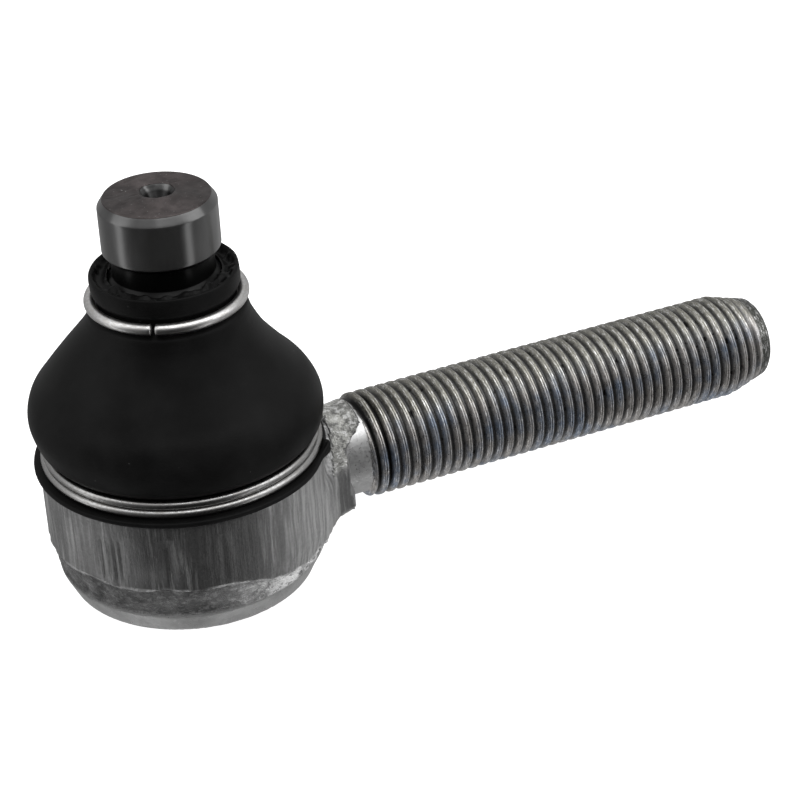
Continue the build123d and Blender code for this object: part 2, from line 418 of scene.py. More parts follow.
def striation(points):
    """Height of the trimming marks: upright ridges and grooves on the trimmed wall."""
    angle = np.arctan2(points[:, 1], points[:, 0])
    wall = np.stack([BODY_R * np.cos(angle), BODY_R * np.sin(angle), points[:, 2] * 0.045], -1)
    coarse = lattice_noise(wall, 2.6, 3)
    fine = lattice_noise(wall, 0.8, 4)
    patch = ramp(lattice_noise(wall * (1, 1, 3), 7.0, 5), -0.35, 0.5)
    grooves = sum(np.exp(-((np.degrees(angle) - centre) / 0.7) ** 2) for centre in GROOVE_ANGLES)
    length = ramp(points[:, 2], TRIM_Z + 0.1, TRIM_Z + 1.0) * ramp(-points[:, 2], 0.8, 2.4)
    return 0.08 * coarse + patch * (0.12 * fine - 0.12 * ramp(-fine, 0.35, 0.8)) - 0.2 * grooves * length


def trimmed_share(points):
    """1 on the trimmed wall and 0 below its ragged lower edge, which dips towards the neck."""
    angle = np.arctan2(points[:, 1], points[:, 0])
    round_wall = np.stack([BODY_R * np.cos(angle), BODY_R * np.sin(angle), 0 * angle], -1)
    edge_z = TRIM_Z - 0.3 - 2.9 * ramp(np.cos(angle), -0.2, 0.7) + 0.3 * lattice_noise(round_wall, 2.2, 6)
    return ramp(points[:, 2], edge_z - 0.35, edge_z + 0.25)


def forging_relief(points):
    """How far the forged skin stands proud of the plain shape."""
    angle = np.arctan2(points[:, 1], points[:, 0])
    z = points[:, 2]
    from_stud = np.hypot(points[:, 0], points[:, 1])
    trimmed = trimmed_share(points)
    outer = ramp(from_stud, BODY_R - 1.6, BODY_R - 1.0)
    side = outer * (z < SHOULDER_Z - 0.1) * ramp(z, ROLLED_EDGE_Z - 0.1, ROLLED_EDGE_Z + 0.5)
    flaky = 0.1 + 0.16 * ramp(points[:, 0], -4.0, 8.0)
    rough = 0.1 * lattice_noise(points, 1.5, 7) + flaky * lattice_noise(points, 0.85, 8)
    smooth = 0.03 * lattice_noise(points, 3.0, 9)
    land = ramp(z, TURNED_LAND_Z - 0.1, TURNED_LAND_Z + 0.1)
    ridge = 0.8 * trimmed * (1 - trimmed)
    wall = trimmed * striation(points) * (1 - land) + (1 - trimmed) * (rough - 0.16) + ridge
    neck = ramp(from_stud, SEAT_CUT_R - 0.2, SEAT_CUT_R + 1.0) * (relief_cut(points) < -0.12)
    lumps = 0.12 * lattice_noise(points, 2.4, 10) + 0.06 * lattice_noise(points, 0.9, 11)
    return side * (1 - neck) * wall + neck * lumps + smooth * side


def forging_field(outline):
    """Field of the plain housing and its neck with a filleted junction."""
    def field(points):
        z = points[:, 2]
        body = polygon_distance(np.hypot(points[:, 0], points[:, 1]), z, outline)
        neck = neck_distance(points)
        fillet = 0.5 + 0.6 * (1 - ramp(z, -6.0, -1.0))
        share = np.clip(0.5 + 0.5 * (neck - body) / fillet, 0, 1)
        return neck * (1 - share) + body * share - fillet * share * (1 - share)
    return field


def thread_rows():
    """One pitch of a rolled thread as (share of the pitch, share of the depth), with a crest seam."""
    flank = [(0.04, 0.97), (0.1, 0.8), (0.2, 0.42), (0.28, 0.14), (0.34, 0.03), (0.43, 0.0)]
    mirrored = [(1 - share, depth) for share, depth in reversed(flank)]
    return [(0.0, 1.0)] + flank + [(0.5, 0.14)] + mirrored


def blank_radius(x):
    """Outside radius that the thread's crests reach."""
    chamfer = RELIEF_R + (x - THREAD_START_X) * (THREAD_R - RELIEF_R) / THREAD_CHAMFER
    slope = (THREAD_R - POINT_END_R) / (SHANK_END_X - POINT_EDGE - POINT_START_X)
    point = THREAD_R - (x - POINT_START_X) * slope
    return np.minimum(np.minimum(chamfer, point), THREAD_R)


def threaded_shank(segments=80):
    """Relief, helical thread and tapered point as one closed mesh about the shank's axis."""
    angles = np.arange(segments + 1) * 2 * math.pi / segments
    rows = thread_rows()
    turns = math.ceil((SHANK_END_X - POINT_EDGE - THREAD_START_X) / THREAD_PITCH) + 1
    shares = np.array([turn + share for turn in range(turns) for share, _ in rows] + [turns])
    depths = np.array([depth for _ in range(turns) for _, depth in rows] + [rows[0][1]])
    x = THREAD_START_X + THREAD_PITCH * (shares[:, None] - 1 + angles[None, :] / (2 * math.pi))
    last_x = SHANK_END_X - POINT_EDGE
    x = np.clip(x, THREAD_START_X, last_x)
    wobble = 0.02 * lattice_noise(np.stack([x, 7 * np.cos(angles) + 0 * x, 7 * np.sin(angles) + 0 * x], -1)
                                  .reshape(-1, 3), 1.3, 12).reshape(x.shape)
    fade = (1 - 0.45 * ramp(x, POINT_START_X, 81.5)) * (1 - ramp(x, 81.8, 82.1))
    radius = blank_radius(x) - THREAD_DEPTH * depths[:, None] * fade + wobble
    radius = np.where(x <= THREAD_START_X, RELIEF_R, radius)
    radius = np.where(x >= last_x, POINT_END_R, radius)
    points = shank_points(x, radius, angles).reshape(-1, 3)
    columns = segments + 1
    i = np.arange(len(shares) - 1)[:, None]
    j = np.arange(segments)[None, :]
    quads = np.stack([i * columns + j, i * columns + j + 1, (i + 1) * columns + j + 1, (i + 1) * columns + j], -1)
    faces = quads.reshape(-1, 4).tolist()
    relief = divided([(RELIEF_STARTS[0] - 2.0, RELIEF_R), (THREAD_START_X, RELIEF_R)], 0.25, closed=False)
    point = [(last_x, POINT_END_R), (SHANK_END_X - 0.12, POINT_END_R - 0.4),
             (SHANK_END_X, POINT_END_R - 0.75), (SHANK_END_X, 2.0)]
    for rings in (relief, point):
        base = len(points)
        ring_x = np.array([ring[0] for ring in rings])[:, None] + 0 * angles[None, :-1]
        ring_r = np.array([ring[1] for ring in rings])[:, None] + 0 * angles[None, :-1]
        points = np.vstack([points, shank_points(ring_x, ring_r, angles[:-1]).reshape(-1, 3)])
        faces += [[base + n for n in face] for face in ring_faces(len(rings), segments, closed=False)]
        cap = base if rings is relief else base + (len(rings) - 1) * segments
        faces.append([cap + n for n in range(segments)])
    return points, faces


def shank_points(x, radius, angles):
    """Points round the shank's axis."""
    return np.stack([x, radius * np.cos(angles), SHANK_Z + radius * np.sin(angles)], -1)


def add_housing(material):
    """Forged housing with its neck and threaded shank, in one closed mesh."""
    outline = housing_outline()
    low = (-18.9, -18.9, BASE_Z - 0.7)
    high = (NECK_END_X + 0.7, 18.9, 8.9)
    net = surface_net(forging_field(outline), forging_relief, low, high, FORGING_STEP)
    housing = mesh_object("housing_forging", *net)
    shank = mesh_object("shank", *threaded_shank())
    join_solids(housing, shank)
    finish_piece(housing, material, 60)
    points = vertex_points(housing)
    on_body = np.hypot(points[:, 0], points[:, 1]) < SEAT_CUT_R
    set_mask(housing, "relief", forging_relief(points) * 5 + 0.5)
    height = points[:, 2] - SHANK_Z
    flank = (1 - ramp(height, 1.0, 2.2)) * ramp(height, -6.2, -5.4)
    set_mask(housing, "trimmed", np.where(on_body, trimmed_share(points), flank))
    rolled = (1 - ramp(points[:, 2], ROLLED_EDGE_Z - 0.1, ROLLED_EDGE_Z + 0.3)) * on_body
    relief = (points[:, 0] > 18) * (points[:, 0] < THREAD_START_X + 0.1) * (relief_cut(points) > -0.05)
    set_mask(housing, "turned", np.maximum(rolled, relief))
    threaded = ramp(points[:, 0], THREAD_START_X - 0.1, THREAD_START_X + 0.1)
    set_mask(housing, "threaded", threaded)
    # The material darkens the thread's roots and flanks from this mask: painted shade.
    below_crest = blank_radius(points[:, 0]) - np.hypot(points[:, 1], height)
    set_mask(housing, "root", threaded * (points[:, 0] < 82) * ramp(below_crest, 0.12, 0.5))
    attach(housing, "housing")
    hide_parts("housing")
    return housing


# ---------------------------------------------------------------- stud, boot and rings

def add_stud(material):
    """Ball, neck, boot seat, undercut and ground clamp pin with its centre drilling."""
    ball_top_z = math.sqrt(BALL_R ** 2 - NECK_R ** 2)
    cone_bottom_z = STUD_TOP_Z - (CONE_R - DRILL_R) * CONE_SLOPE
    side = [
        (NECK_R, ball_top_z), (NECK_R, NECK_TOP_Z), (SEAT_R, SEAT_Z[0]), (SEAT_R, SEAT_Z[1]),
        (UNDERCUT_R, UNDERCUT_Z[0]), (UNDERCUT_R, UNDERCUT_Z[1]), (PIN_R - 0.25, PIN_Z[0] - 0.25),
        (PIN_R, PIN_Z[0]), (PIN_R, PIN_Z[1]), (PIN_TOP_R, STUD_TOP_Z), (CONE_R, STUD_TOP_Z),
        (DRILL_R, cone_bottom_z), (DRILL_R, DRILL_Z), (0.05, DRILL_Z - 0.6),
    ]
    ball = [(0.05, BALL_FLAT_Z)] + arc(BALL_R, BALL_FLAT_Z, ball_top_z - 0.3, 40)
    profile = ball + divided(rounded(side, 0.09, steps=2, closed=False), 0.35, closed=False)
    points, faces = lathe(profile, 224, closed=False)
    from_axis = np.hypot(points[:, 0], points[:, 1])
    top = ramp(points[:, 2], STUD_TOP_Z - 0.1, STUD_TOP_Z - 0.02)
    dents = 0.035 * lattice_noise(points, 1.1, 21) - 0.07 * ramp(lattice_noise(points, 0.55, 22), 0.45, 0.8)
    points[:, 2] += top * ramp(from_axis, CONE_R, CONE_R + 0.4) * ramp(-from_axis, -PIN_TOP_R, -PIN_TOP_R + 0.5) * dents
    cone = (points[:, 2] > cone_bottom_z - 0.2) * (from_axis < CONE_R + 0.3)
    wave = 0.07 * lattice_noise(points, 0.9, 23) * cone
    points[:, :2] *= 1 + wave[:, None]
    inner = (points[:, 2] > DRILL_Z - 1.0) * (1 - ramp(from_axis, CONE_R + 0.2, PIN_TOP_R - 0.3))
    points[:, :2] += inner[:, None] * np.array(DRILL_OFFSET)
    stud = finish_piece(mesh_object("ball_stud_forging", points, faces), material, 22)
    placed = vertex_points(stud)
    from_hole = np.hypot(placed[:, 0] - DRILL_OFFSET[0], placed[:, 1] - DRILL_OFFSET[1])
    inside = (placed[:, 2] > DRILL_Z - 1.0) * (placed[:, 2] < STUD_TOP_Z - 0.7) * (from_hole < CONE_R + 0.2)
    set_mask(stud, "drilled", inside)
    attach(stud, "stud")
    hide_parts("ball_stud")
    return stud


def boot_profile():
    """Closed half section of the rubber boot."""
    collar = [
        (15.97, 4.9), (15.75, 4.7), (15.2, 4.7), (15.2, BEAD_Z[0]), (BEAD_R, BEAD_Z[0]), (BEAD_R, BEAD_Z[1]),
        (16.6, BEAD_Z[1]), (16.6, 3.1), (16.3, 3.1), (16.3, 4.2), (17.0, 4.55),
    ]
    bulge = through([
        (17.0, 4.55), (17.9, 5.8), (18.35, 8.4), (17.55, 10.85),
        (15.75, 13.05), (12.85, 16.6), (10.7, 19.7), (9.9, 21.45),
    ])
    groove = [
        (9.75, 22.0), (8.6, 22.78), (8.6, 24.12), (9.0, 24.6), (9.15, 25.2), (9.18, 26.4), (9.1, 27.0),
        (8.85, 27.15), (8.6, 26.9), (8.35, 26.45), (8.0, 26.2), (7.6, 26.25), (7.2, 26.55), (6.95, 26.6),
        (6.98, 26.35), (7.36, 25.95), (7.4, 25.7), (7.45, 24.85),
    ]
    inner = through([
        (7.5, 22.6), (7.95, 21.4), (8.8, 20.0), (9.8, 18.3), (11.7, 15.7), (14.45, 12.4), (16.3, 10.3),
        (17.0, 8.3), (16.55, 6.4),
    ])
    passage = [(15.97, 6.1)]
    rim = rounded(collar, 0.3, steps=3, closed=False)
    neck = rounded([bulge[-1]] + groove + [inner[0]], 0.25, steps=2, closed=False)
    outline = rim[:-1] + bulge[:-1] + neck[:-1] + inner + passage
    return divided(outline, 0.45)


def add_boot(material):
    """Dust boot with a crumpled, greasy mouth and a small ear on its bead."""
    points, faces = lathe(boot_profile(), 224)
    from_axis = np.hypot(points[:, 0], points[:, 1])
    outward = points[:, :2] / from_axis[:, None]
    z = points[:, 2]
    mouth = ramp(z, 25.95, 26.2) * ramp(-from_axis, -8.75, -8.3)
    crumple = 0.6 * lattice_noise(points, 1.5, 31) + 0.3 * lattice_noise(points, 0.6, 32)
    points[:, 2] += mouth * np.maximum(crumple, -0.1)
    slack = 0.05 * lattice_noise(points, 9.0, 33) * ramp(z, 4.5, 8.0) * ramp(-z, -21.0, -18.0)
    lip = 0.08 * lattice_noise(points, 3.0, 34) * ramp(z, 25.0, 26.5)
    points[:, :2] += outward * (slack + lip)[:, None]
    lean = ramp(z, 5.0, 14.5) * ramp(-z, -22.0, -15.5)
    points[:, :2] += lean[:, None] * np.array(BOOT_LEAN)
    angle = np.degrees(np.arctan2(points[:, 1], points[:, 0]))
    bead = ramp(from_axis, 17.4, 18.3) * ramp(-z, -3.2, -2.1)
    ear = np.exp(-((angle + 31) / 4.5) ** 2) * bead
    squeeze = 0.5 * ramp(np.cos(np.radians(angle)), 0.55, 0.9) * bead
    points[:, :2] += outward * (0.75 * ear - squeeze)[:, None]
    points[:, 2] += 0.8 * ear * ramp(z, 1.4, 2.0)
    boot = finish_piece(mesh_object("dust_boot_rubber", points, faces), material, 50)
    kept = vertex_points(boot)
    inside_mouth = ramp(kept[:, 2], 25.8, 26.3) * ramp(-np.hypot(kept[:, 0], kept[:, 1]), -8.9, -8.5)
    set_mask(boot, "grease", inside_mouth)
    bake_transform(boot)
    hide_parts("dust_boot")
    return boot


def ring_path(radius, height, gap_centre, gap, steps):
    """Open circle about the stud axis; radius and height may vary along it."""
    share = np.linspace(0, 1, steps)
    angles = np.radians(gap_centre + gap / 2 + share * (360 - gap))
    r, z = np.broadcast_to(radius, share.shape), np.broadcast_to(height, share.shape)
    return np.stack([r * np.cos(angles), r * np.sin(angles), z], -1)


def add_upper_ring(material):
    """Single-turn wire ring whose butt ends stand a little apart."""
    path = ring_path(UPPER_RING_R, UPPER_RING_Z, UPPER_GAP_ANGLE, UPPER_GAP, 181)
    ring = finish_piece(mesh_object("upper_ring_wire", *tube(path, UPPER_WIRE_R, 28)), material, 50)
    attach(ring, "boot_top")
    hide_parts("upper_clamp_ring")
    return ring


def add_lower_ring(material):
    """Two turns of finer wire wound side by side as one coil."""
    share = np.linspace(0, 1, 481)
    angles = np.radians(LOWER_GAP_ANGLE + share * 716)
    step = ramp(share, 0.46, 0.54)
    (r0, z0), (r1, z1) = LOWER_TURNS
    radius, height = r0 + (r1 - r0) * step, z0 + (z1 - z0) * step
    path = np.stack([radius * np.cos(angles), radius * np.sin(angles), height], -1)
    ring = finish_piece(mesh_object("lower_ring_wire", *tube(path, LOWER_WIRE_R, 20)), material, 50)
    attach(ring, "boot")
    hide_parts("lower_clamp_ring")
    return ring


def add_closing_plate(material):
    """Pressed closing disc with a rolled-looking dimple."""
    low, high = PLATE_Z
    side = [(0.05, low + 0.45), (4.6, low + 0.45), (5.5, low), (PLATE_R, low), (PLATE_R, high), (0.05, high)]
    profile = divided(rounded(side, 0.4, steps=4, closed=False), 0.6, closed=False)
    plate = finish_piece(mesh_object("closing_plate_disc", *lathe(profile, 160, closed=False)), material, 50)
    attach(plate, "housing")
    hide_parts("closing_plate")
    return plate


# ---------------------------------------------------------------- materials

def add_node(tree, kind, inputs=None, **settings):
    """New node with its settings, and its inputs given as values or as sockets to link."""
    node = tree.nodes.new(kind)
    for key, value in settings.items():
        setattr(node, key, value)
    for key, value in (inputs or {}).items():
        if isinstance(value, bpy.types.NodeSocket):
            tree.links.new(value, node.inputs[key])
        else:
            node.inputs[key].default_value = value
    return node


def new_material(name):
    """Empty material, its Principled shader and a position socket in millimetres."""
    material = bpy.data.materials.new(name)
    material.use_nodes = True
    tree = material.node_tree
    tree.nodes.clear()
    shader = add_node(tree, "ShaderNodeBsdfPrincipled")
    output = add_node(tree, "ShaderNodeOutputMaterial")
    tree.links.new(shader.outputs[0], output.inputs[0])
    place = add_node(tree, "ShaderNodeTexCoord")
    position = add_node(tree, "ShaderNodeVectorMath", {0: place.outputs["Object"], "Scale": 1000.0}, operation="SCALE")
    return material, tree, shader, position.outputs[0]


def noise_value(tree, position, size, stretch=(1, 1, 1), detail=4.0, roughness=0.55):
    """Noise from 0 to 1 with lumps of this size in millimetres, stretched along the axes."""
    scaled = add_node(tree, "ShaderNodeVectorMath", {0: position, 1: stretch}, operation="MULTIPLY")
    inputs = {"Vector": scaled.outputs[0], "Scale": 1 / size, "Detail": detail, "Roughness": roughness}
    return add_node(tree, "ShaderNodeTexNoise", inputs).outputs[0]


def remap(tree, value, low, high, to_low=0.0, to_high=1.0):
    """Maps low..high to to_low..to_high, smoothly and clamped."""
    inputs = {"Value": value, "From Min": low, "From Max": high, "To Min": to_low, "To Max": to_high}
    return add_node(tree, "ShaderNodeMapRange", inputs, interpolation_type="SMOOTHSTEP").outputs[0]


def math_node(tree, operation, a, b):
    """Arithmetic on two values."""
    return add_node(tree, "ShaderNodeMath", {0: a, 1: b}, operation=operation).outputs[0]


def mix_colour(tree, share, a, b):
    """Colour a, turning to b as share goes to 1."""
    node = add_node(tree, "ShaderNodeMix", data_type="RGBA")
    for socket, value in ((node.inputs[0], share), (node.inputs[6], a), (node.inputs[7], b)):
        if isinstance(value, bpy.types.NodeSocket):
            tree.links.new(value, socket)
        else:
            socket.default_value = value
    return node.outputs[2]


def grey(value, tint=(1, 1, 1)):
    """Near-grey colour with an alpha."""
    return (value * tint[0], value * tint[1], value * tint[2], 1.0)


def mask(tree, name):
    """The number that mesh code stored per vertex."""
    return add_node(tree, "ShaderNodeAttribute", attribute_name=name).outputs["Fac"]


def bump(tree, shader, height, distance, strength=1.0):
    """Surface relief from a height value; distance in millimetres."""
    inputs = {"Height": height, "Distance": distance * MM, "Strength": strength}
    node = add_node(tree, "ShaderNodeBump", inputs)
    tree.links.new(node.outputs[0], shader.inputs["Normal"])


def housing_material():
    """Forged skin, trimmed wall, turned and rolled steel, and the oiled thread."""
    material, tree, shader, position = new_material("oiled_forging")
    relief = mask(tree, "relief")
    trimmed, turned, threaded = mask(tree, "trimmed"), mask(tree, "turned"), mask(tree, "threaded")
    blotch = noise_value(tree, position, 3.0, detail=5.0)
    grain = noise_value(tree, position, 0.35, detail=3.0, roughness=0.7)
    streak = noise_value(tree, position, 0.7, (1, 1, 0.07), detail=4.0, roughness=0.7)
    parts = add_node(tree, "ShaderNodeSeparateXYZ", {0: position})
    neck = mix_colour(tree, remap(tree, blotch, 0.35, 0.65), grey(0.22, (1, 1, 0.95)), grey(0.5, (1, 1, 0.95)))
    band = mix_colour(tree, remap(tree, blotch, 0.35, 0.65), grey(0.05), grey(0.125))
    # Lighter copy of the rough band, blended in towards +X on the right side: painted light from the right.
    right_lit_band = mix_colour(tree, remap(tree, blotch, 0.35, 0.6), grey(0.3), grey(0.8))
    band = mix_colour(tree, remap(tree, parts.outputs[0], -3.0, 9.0), band, right_lit_band)
    flake = noise_value(tree, position, 0.9, (1, 1, 1.6), detail=3.0, roughness=0.65)
    forged = mix_colour(tree, remap(tree, parts.outputs[0], 12.0, 16.0), band, neck)
    coarse = remap(tree, parts.outputs[0], -4.0, 8.0, 0.15, 1.0)
    # Bright flakes, more of them towards +X: flaky scale together with painted glints.
    flakes_and_glints = math_node(tree, "MULTIPLY", remap(tree, flake, 0.5, 0.62, 0, 0.6), coarse)
    dark_pits = math_node(tree, "MULTIPLY", remap(tree, flake, 0.46, 0.36, 0, 0.7), coarse)
    forged = mix_colour(tree, flakes_and_glints, forged, grey(0.75))
    forged = mix_colour(tree, dark_pits, forged, grey(0.1))
    patch = noise_value(tree, position, 7.0, (1, 1, 0.25), detail=2.0)
    scored = math_node(tree, "MULTIPLY", remap(tree, streak, 0.5, 0.68), remap(tree, patch, 0.42, 0.6, 0.15, 1.0))
    wall = mix_colour(tree, scored, grey(0.12), grey(0.34))
    # Trimmed wall painted lighter towards +X and towards far -X: painted side light from the right and left.
    painted_side_light = math_node(tree, "MAXIMUM", remap(tree, parts.outputs[0], 1.0, 13.0), remap(tree, parts.outputs[0], -8.0, -15.0, 0, 0.35))
    painted_side_light = math_node(tree, "MULTIPLY", painted_side_light, remap(tree, parts.outputs[0], 16.5, 18.0, 1.0, 0.1))
    side_lit_wall = mix_colour(tree, remap(tree, streak, 0.35, 0.65), grey(0.25), grey(0.46))
    wall = mix_colour(tree, painted_side_light, wall, side_lit_wall)
    # Proud spots of the forged relief are painted lighter (painted highlight) and sunken grooves dark (painted shade).
    wall = mix_colour(tree, remap(tree, relief, 0.6, 0.95, 0, 0.5), wall, grey(0.45))
    wall = mix_colour(tree, remap(tree, relief, 0.0, -0.4, 0, 0.6), wall, grey(0.06))
    skin = mix_colour(tree, trimmed, forged, wall)
    # Lighter streak along the ridge at the broken trim edge: painted highlight.
    edge = math_node(tree, "MULTIPLY", trimmed, math_node(tree, "SUBTRACT", 1.0, trimmed))
    ridge_highlight = math_node(tree, "MULTIPLY", remap(tree, edge, 0.05, 0.2), remap(tree, blotch, 0.42, 0.62, 0.0, 0.7))
    skin = mix_colour(tree, ridge_highlight, skin, grey(0.38))
    rolled = mix_colour(tree, remap(tree, blotch, 0.4, 0.7), grey(0.4), grey(0.31))
    skin = mix_colour(tree, turned, skin, rolled)
    colour = mix_colour(tree, threaded, skin, thread_colour(tree, position))
    tree.links.new(colour, shader.inputs["Base Color"])
    machined = math_node(tree, "MAXIMUM", math_node(tree, "MAXIMUM", turned, threaded), trimmed)
    tree.links.new(remap(tree, machined, 0, 1, 0.6, 0.92), shader.inputs["Metallic"])
    rough = remap(tree, grain, 0.3, 0.7, 0.38, 0.6)
    smooth = math_node(tree, "ADD", remap(tree, turned, 0, 1, 0, 0.12), remap(tree, threaded, 0, 1, 0, 0.14))
    tree.links.new(math_node(tree, "SUBTRACT", rough, smooth), shader.inputs["Roughness"])
    lines = math_node(tree, "MULTIPLY", streak, trimmed)
    pits = math_node(tree, "ADD", math_node(tree, "MULTIPLY", flake, 1.5), grain)
    rough_skin = math_node(tree, "MULTIPLY", pits, remap(tree, trimmed, 0.0, 1.0, 4.0, 0.4))
    height = math_node(tree, "ADD", rough_skin, lines)
    plain = math_node(tree, "SUBTRACT", 1.0, math_node(tree, "MAXIMUM", turned, threaded))
    bump(tree, shader, math_node(tree, "MULTIPLY", height, plain), 0.12)
    return material


def thread_colour(tree, position):
    """Grey crests with a faint violet to olive bloom; roots and flanks darkened with painted shade, and darker still
    with oil in the roots.
    """
    parts = add_node(tree, "ShaderNodeSeparateXYZ", {0: position})
    height = math_node(tree, "SUBTRACT", parts.outputs[2], SHANK_Z)
    bloom = noise_value(tree, position, 4.5, detail=3.0)
    violet = mix_colour(tree, remap(tree, bloom, 0.35, 0.6), grey(0.29, (0.82, 0.97, 1.24)), grey(0.38, (1.05, 1.0, 0.96)))
    olive = mix_colour(tree, remap(tree, height, 3.5, 6.3), violet, grey(0.22, (1.06, 1.03, 0.9)))
    oil = noise_value(tree, position, 1.6, (0.6, 1, 1), detail=2.0)
    first_groove = remap(tree, parts.outputs[0], THREAD_START_X + 3.2, THREAD_START_X + 2.6)
    scuff = noise_value(tree, position, 0.5, (4.0, 0.5, 0.5), detail=4.0, roughness=0.65)
    oily = math_node(tree, "MAXIMUM", remap(tree, oil, 0.6, 0.7), first_groove)
    # Root colour: grey 0.1 is painted shade in the roots and flanks; oil patches and the first groove go darker still,
    # for oil.
    root = mix_colour(tree, oily, grey(0.1), grey(0.015))
    crest = mix_colour(tree, remap(tree, parts.outputs[0], 81.8, 82.0), olive, grey(0.06, (1, 1.03, 0.92)))
    # Bright scuffs on the crests: scratches together with painted glints.
    crest = mix_colour(tree, remap(tree, scuff, 0.52, 0.66, 0, 0.8), crest, grey(0.7))
    crest = mix_colour(tree, remap(tree, scuff, 0.47, 0.36, 0, 0.8), crest, grey(0.13))
    return mix_colour(tree, mask(tree, "root"), crest, root)


def stud_material():
    """Dark ground steel with a mottled, oiled end face."""
    material, tree, shader, position = new_material("ground_stud")
    parts = add_node(tree, "ShaderNodeSeparateXYZ", {0: position})
    end_face = remap(tree, parts.outputs[2], STUD_TOP_Z - 0.14, STUD_TOP_Z - 0.1)
    film = noise_value(tree, position, 2.5, (1, 1, 0.3), detail=2.0)
    blotch = noise_value(tree, position, 1.6, detail=5.0)
    speck = noise_value(tree, position, 0.28, detail=2.0)
    side = mix_colour(tree, remap(tree, film, 0.3, 0.7), grey(0.095), grey(0.125))
    # Below the pin the undercut is painted near black: painted shade under the pin, together with grease.
    side = mix_colour(tree, remap(tree, parts.outputs[2], 30.0, 29.7), side, grey(0.01))
    face = mix_colour(tree, remap(tree, blotch, 0.3, 0.7), grey(0.045, (1.1, 0.95, 0.94)), grey(0.075, (1.1, 0.95, 0.94)))
    face = mix_colour(tree, remap(tree, speck, 0.68, 0.76, 0, 0.8), face, grey(0.4))
    colour = mix_colour(tree, end_face, side, face)
    # The centre drilling is painted near black: painted shade inside the hole.
    colour = mix_colour(tree, mask(tree, "drilled"), colour, grey(0.03))
    tree.links.new(colour, shader.inputs["Base Color"])
    shader.inputs["Metallic"].default_value = 0.95
    shader.inputs["Anisotropic"].default_value = 0.85
    shader.inputs["Anisotropic Rotation"].default_value = 0.25
    tangent = add_node(tree, "ShaderNodeTangent", direction_type="RADIAL", axis="Z")
    tree.links.new(tangent.outputs[0], shader.inputs["Tangent"])
    rough = remap(tree, end_face, 0, 1, 0.28, 0.45)
    tree.links.new(rough, shader.inputs["Roughness"])
    bump(tree, shader, math_node(tree, "MULTIPLY", blotch, end_face), 0.05)
    return material


def rubber_material():
    """Satin moulded rubber with dust specks, and wet grease in the mouth."""
    material, tree, shader, position = new_material("boot_rubber_black")
    blotch = noise_value(tree, position, 6.0, detail=4.0)
    speck = noise_value(tree, position, 0.45, detail=1.0)
    grease = mask(tree, "grease")
    black = mix_colour(tree, remap(tree, blotch, 0.3, 0.7), grey(0.002), grey(0.004))
    dusty = mix_colour(tree, remap(tree, speck, 0.8, 0.84, 0, 0.3), black, grey(0.2))
    tree.links.new(mix_colour(tree, grease, dusty, grey(0.003)), shader.inputs["Base Color"])
    shader.inputs["Specular IOR Level"].default_value = 0.06
    rough = remap(tree, grease, 0, 1, 0.45, 0.33)
    tree.links.new(rough, shader.inputs["Roughness"])
    fine = noise_value(tree, position, 0.12, detail=2.0)
    bump(tree, shader, fine, 0.01)
    return material


def wire_material(name, value, roughness):
    """Bright drawn spring wire with fine scuffs."""
    material, tree, shader, position = new_material(name)
    scuff = noise_value(tree, position, 0.5, (1, 1, 3), detail=4.0)
    colour = mix_colour(tree, remap(tree, scuff, 0.35, 0.65), grey(value), grey(value * 0.78, (1.02, 1, 0.97)))
    tree.links.new(colour, shader.inputs["Base Color"])
    shader.inputs["Metallic"].default_value = 1.0
    tree.links.new(remap(tree, scuff, 0.3, 0.7, roughness, roughness + 0.12), shader.inputs["Roughness"])
    return material


def plate_material():
    """Pressed disc steel with stamping scuffs and an oil film."""
    material, tree, shader, position = new_material("pressed_plate")
    scuff = noise_value(tree, position, 0.8, (1, 0.15, 1), detail=4.0)
    film = noise_value(tree, position, 4.0, detail=3.0)
    bright = mix_colour(tree, remap(tree, scuff, 0.35, 0.65), grey(0.5), grey(0.38))
    colour = mix_colour(tree, remap(tree, film, 0.4, 0.7, 0, 0.6), bright, grey(0.2, (1.05, 1, 0.92)))
    tree.links.new(colour, shader.inputs["Base Color"])
    shader.inputs["Metallic"].default_value = 0.95
    tree.links.new(remap(tree, film, 0.3, 0.7, 0.28, 0.42), shader.inputs["Roughness"])
    bump(tree, shader, scuff, 0.02)
    return material


def plastic_material():
    """Cream moulded acetal with a grease film."""
    material, tree, shader, position = new_material("acetal_shell")
    film = noise_value(tree, position, 3.0, detail=4.0)
    colour = mix_colour(tree, remap(tree, film, 0.35, 0.7), (0.72, 0.69, 0.6, 1), (0.55, 0.47, 0.33, 1))
    tree.links.new(colour, shader.inputs["Base Color"])
    tree.links.new(remap(tree, film, 0.35, 0.7, 0.45, 0.25), shader.inputs["Roughness"])
    bump(tree, shader, film, 0.02)
    return material


def dress_inner_nodes():
    """Materials for the bearing pieces that stay as the CAD made them."""
    plastic = plastic_material()
    steel = wire_material("hardened_steel", 0.3, 0.3)
    for name in ("upper_bearing_shell", "lower_bearing_shell"):
        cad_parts[name].data.materials.clear()
        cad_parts[name].data.materials.append(plastic)
    for name in ("pressure_cup", "preload_spring"):
        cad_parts[name].data.materials.clear()
        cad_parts[name].data.materials.append(steel)


# ---------------------------------------------------------------- studio

def direction(azimuth, elevation):
    """Unit vector towards a place round the object; azimuth 0 is in front, along -Y."""
    a, e = math.radians(azimuth), math.radians(elevation)
    return Vector((math.sin(a) * math.cos(e), -math.cos(a) * math.cos(e), math.sin(e)))


